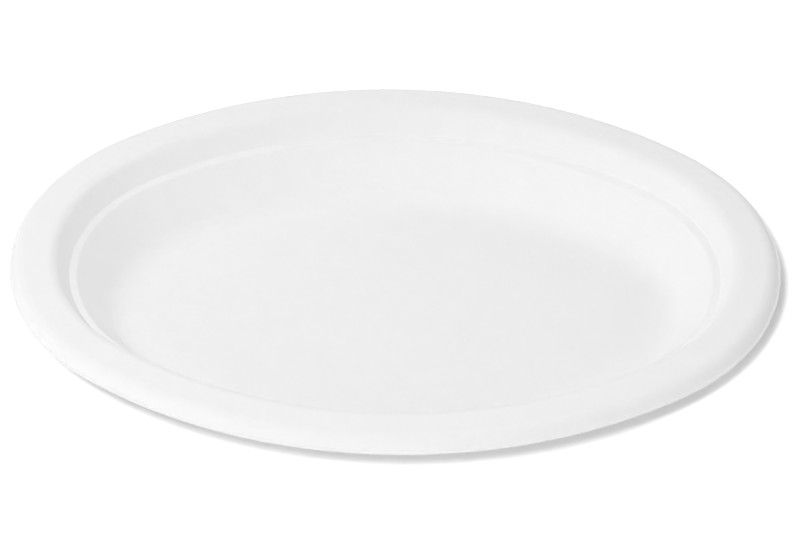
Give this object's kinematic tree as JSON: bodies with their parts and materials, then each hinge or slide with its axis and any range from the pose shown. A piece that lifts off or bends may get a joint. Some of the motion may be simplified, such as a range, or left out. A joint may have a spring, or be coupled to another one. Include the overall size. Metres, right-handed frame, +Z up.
{
  "type": "paper plate",
  "caption": "Oval moulded-fibre dinner plate with a rolled brim, a stacking step and a shallow flat-bottomed well.",
  "frame": {"origin": "middle of the underside of the flat floor, on the table", "axes": "+X along the length, +Y along the width, +Z up out of the well"},
  "size_m": [0.26, 0.189, 0.0265],
  "materials": {
    "moulded_fibre": "matt white moulded fibre, smooth above, with a faint forming-screen texture below"
  },
  "bodies": {
    "root": {"plate": "moulded_fibre"}
  },
  "joints": []
}
